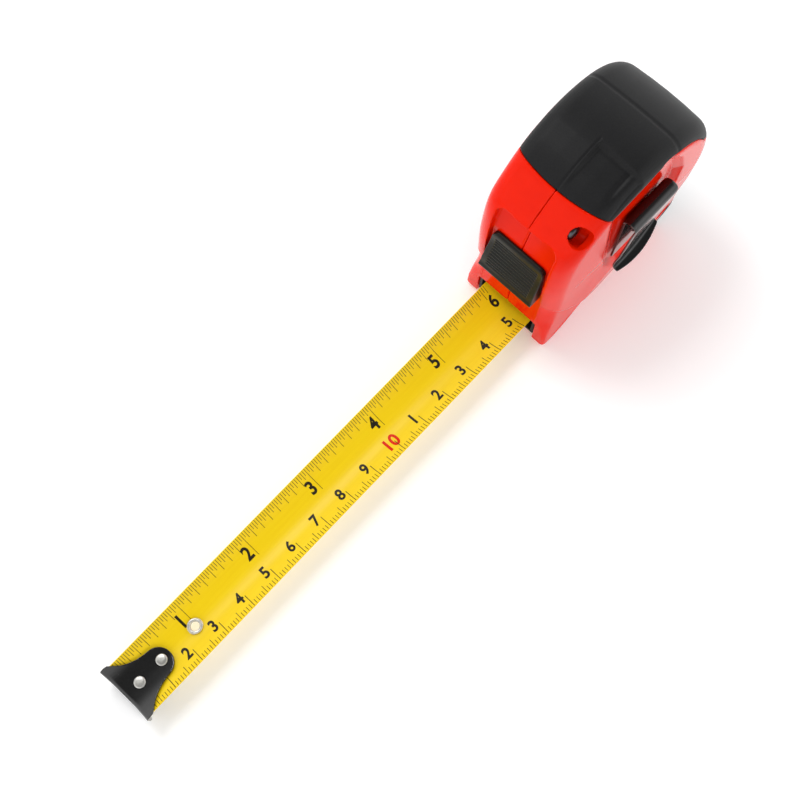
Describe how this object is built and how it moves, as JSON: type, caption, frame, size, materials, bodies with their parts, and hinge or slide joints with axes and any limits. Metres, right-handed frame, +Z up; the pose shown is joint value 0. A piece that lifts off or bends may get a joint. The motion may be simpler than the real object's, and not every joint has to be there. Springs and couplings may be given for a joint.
{
  "type": "tape measure",
  "caption": "Pocket tape measure in a rubber-gripped case with a thumb lock and belt clip, its curved steel blade drawn out a little way to an end hook.",
  "frame": {"origin": "on the ground under the case, at the parting plane between the two shells, about halfway along the case", "axes": "+Z up from the case's flat base, the blade runs out along -Y, +X points out of the side with the belt clip"},
  "size_m": [0.0353, 0.2152, 0.0755],
  "materials": {
    "red_plastic": "glossy orange-red moulded ABS",
    "black_rubber": "satin black overmoulded rubber",
    "black_plastic": "semi-gloss black moulded plastic",
    "yellow_blade": "yellow lacquered spring steel with printed scales",
    "black_paint": "glossy black coated steel",
    "bright_steel": "pale satin steel",
    "spring_steel": "dark steel",
    "white_plastic": "natural white nylon"
  },
  "bodies": {
    "case": {"case_shell_right": "red_plastic", "case_shell_left": "red_plastic", "rubber_grip_right": "black_rubber", "rubber_grip_left": "black_rubber", "mouth_bumper": "black_rubber", "centre_post": "spring_steel", "sliding_disc_left": "white_plastic", "sliding_disc_right": "white_plastic", "front_case_screw": "spring_steel", "rear_case_screw": "spring_steel", "post_screw": "spring_steel", "clip_screw": "spring_steel", "clip_leg": "black_paint", "power_spring": "spring_steel"},
    "reel": {"reel_drum": "white_plastic", "reel_cover": "white_plastic", "wound_blade": "yellow_blade"},
    "blade": {"blade_strip": "yellow_blade", "hook_rivet_front": "bright_steel", "hook_rivet_rear": "bright_steel", "backing_plate": "spring_steel", "blade_eyelet": "bright_steel"},
    "hook": {"end_hook": "black_paint"},
    "lock": {"lock_button": "black_plastic", "lock_wedge": "black_plastic"},
    "clip": {"clip_arm": "black_paint"}
  },
  "joints": [
    {"name": "blade_slide", "type": "slide", "parent": "case", "child": "blade", "axis": [0, 1, 0], "range_m": [0, 0.1512], "deforming": ["blade_strip"]},
    {"name": "reel_spin", "type": "hinge", "parent": "case", "child": "reel", "pos_m": [0, 0.0062, 0.0365], "axis": [1, 0, 0], "range_deg": [0, 361.5]},
    {"name": "hook_play", "type": "slide", "parent": "blade", "child": "hook", "axis": [0, 1, 0], "range_m": [-0.0005, 0.0005]},
    {"name": "lock_slide", "type": "slide", "parent": "case", "child": "lock", "axis": [0, 0.0465, 0.9989], "range_m": [0, 0.0075]},
    {"name": "clip_flex", "type": "hinge", "parent": "case", "child": "clip", "pos_m": [0.0167, 0.0062, 0.0495], "axis": [0, -1, 0], "range_deg": [0, 8], "stiffness_Nm_per_rad": 0.6}
  ],
  "couplings": [
    {"joint": "reel_spin", "follows": "blade_slide", "rad_per_m": 41.667}
  ]
}
